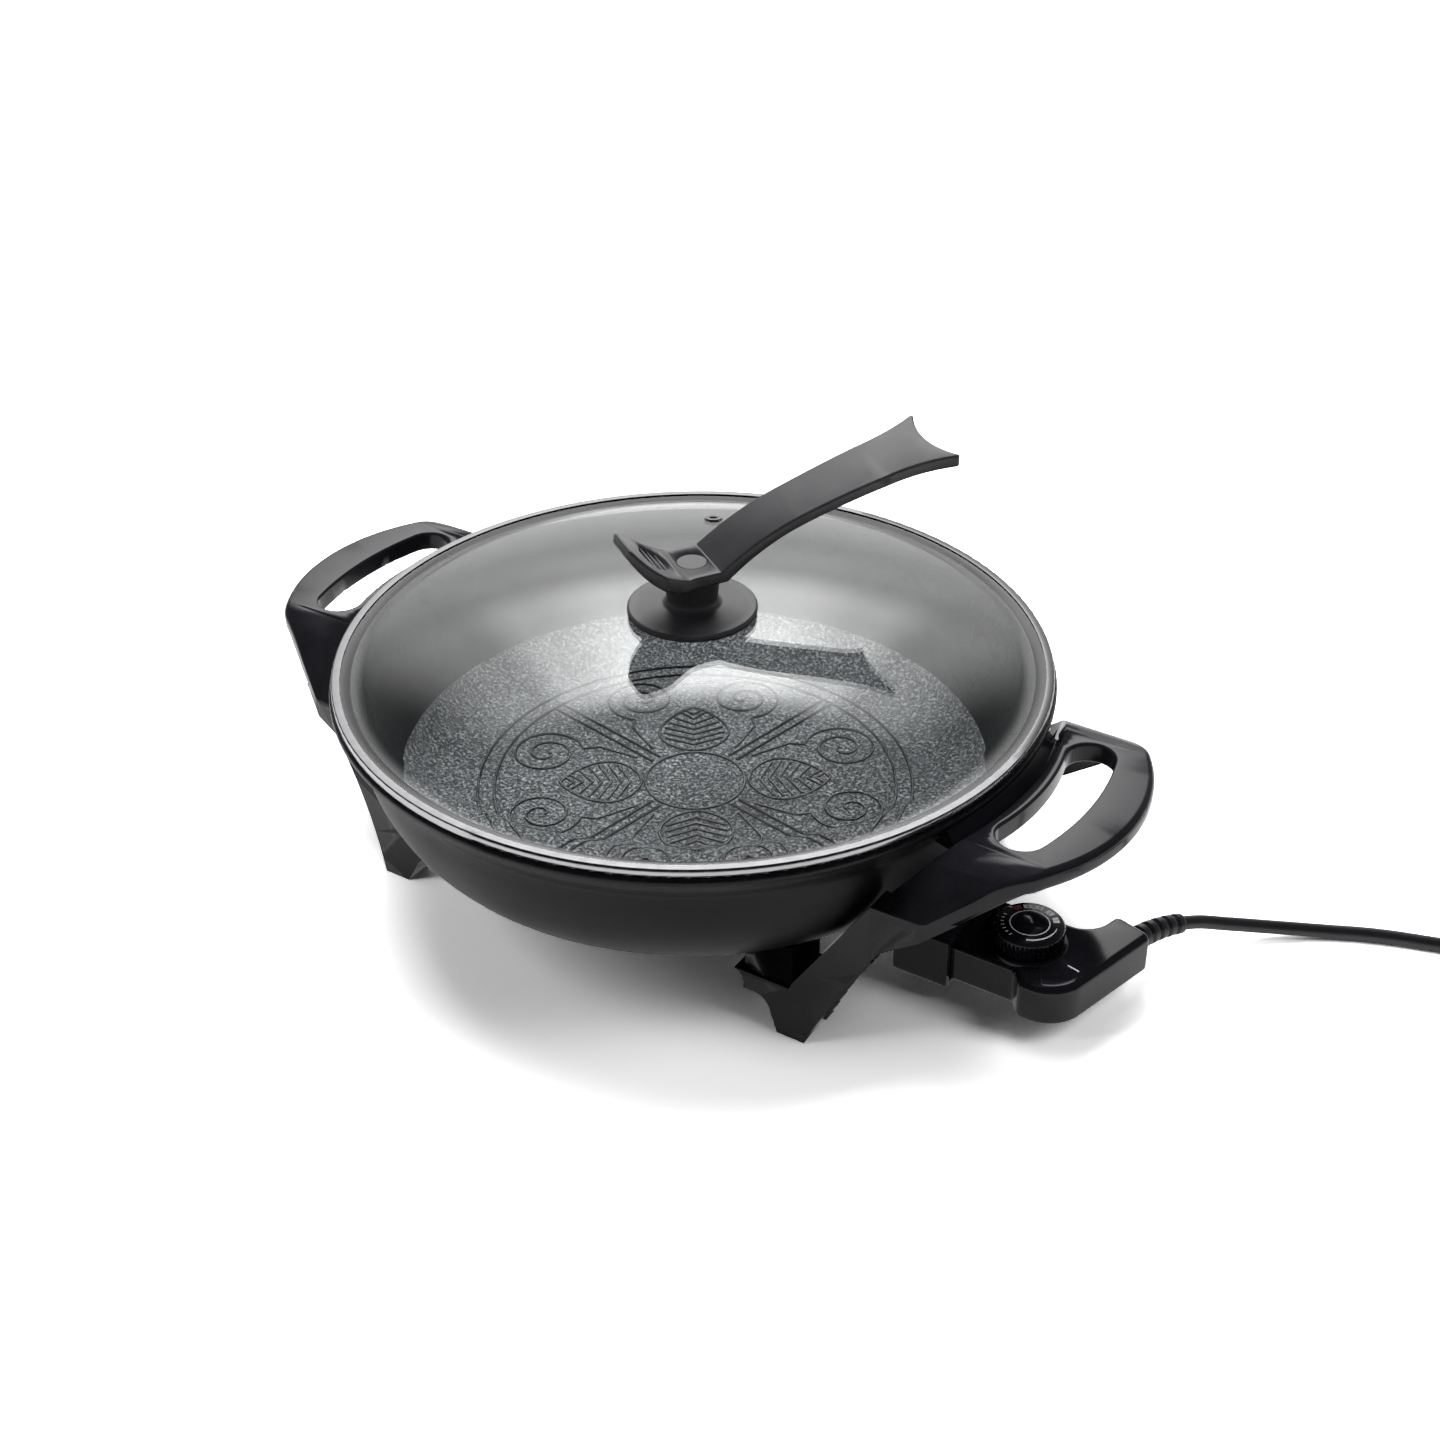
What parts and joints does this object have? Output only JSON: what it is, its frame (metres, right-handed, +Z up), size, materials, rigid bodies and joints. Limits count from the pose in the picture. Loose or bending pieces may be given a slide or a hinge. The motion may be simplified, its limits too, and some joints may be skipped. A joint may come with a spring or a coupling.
{
  "type": "electric wok",
  "caption": "Electric wok: round non-stick pan on handle-and-leg brackets, lift-off domed glass lid with a swept handle, plug-in thermostat controller with a dial, mains cord and plug.",
  "frame": {"origin": "on the floor under the pan's axis, level with the soles of the feet", "axes": "+X from the pan's axis towards the side where the controller plugs in, +Y to the rear, +Z up along the pan's axis"},
  "size_m": [0.7079, 0.3628, 0.2167],
  "materials": {
    "nonstick_black": "satin black coating",
    "sheath_steel": "dull",
    "steel": "polished",
    "ceramic_white": "matte",
    "phenolic_black": "gloss",
    "cast_aluminium": "as cast",
    "glass_clear": "clear",
    "silicone_grey": "matte",
    "phenolic_matt": "fine texture",
    "switch_body": "matte",
    "brass_contact": "bright",
    "lamp_red": "clear gloss",
    "cord_black": "matte",
    "plug_nickel": "bright"
  },
  "bodies": {
    "base": {"pan": "nonstick_black", "heating_element": "sheath_steel", "terminal_pin_front": "steel", "terminal_pin_rear": "steel", "terminal_insulator_front": "ceramic_white", "terminal_insulator_rear": "ceramic_white", "terminal_plate": "steel", "socket_shroud": "phenolic_black", "probe_guide": "cast_aluminium", "handle_bracket_right": "phenolic_black", "handle_bracket_left": "phenolic_black", "leg_screw_left_front": "steel", "leg_screw_left_rear": "steel", "leg_screw_right_front": "steel", "leg_screw_right_rear": "steel", "shroud_screw_front": "steel", "shroud_screw_rear": "steel"},
    "lid": {"lid_glass": "glass_clear", "lid_band": "steel", "steam_vent": "steel", "knob_washer": "silicone_grey", "knob": "phenolic_matt", "lid_seal_washer": "silicone_grey", "knob_bolt": "steel", "lid_handle": "phenolic_matt", "lid_handle_cap": "phenolic_matt", "lid_handle_screw": "steel"},
    "controller": {"case_lower": "phenolic_black", "case_upper": "phenolic_black", "case_screw_1": "steel", "case_screw_2": "steel", "case_screw_3": "steel", "thermostat": "switch_body", "terminal_socket_front": "brass_contact", "terminal_socket_rear": "brass_contact", "thermostat_probe": "steel", "pilot_lamp": "lamp_red", "strain_relief": "cord_black", "cord": "cord_black", "cord_coil": "cord_black", "cord_tail": "cord_black", "plug": "cord_black", "plug_pin_left": "plug_nickel", "plug_pin_right": "plug_nickel"},
    "dial": {"dial": "phenolic_black", "dial_shaft": "steel"}
  },
  "joints": [
    {"name": "lid_lift", "type": "slide", "parent": "base", "child": "lid", "axis": [0, 0, 1], "range_m": [0, 0.2]},
    {"name": "controller_unplug", "type": "slide", "parent": "base", "child": "controller", "axis": [1, 0, 0], "range_m": [0, 0.08]},
    {"name": "dial_turn", "type": "hinge", "parent": "controller", "child": "dial", "pos_m": [0.2002, -0.0165, 0.0346], "axis": [0, 0, 1], "range_deg": [-156, 77]}
  ]
}
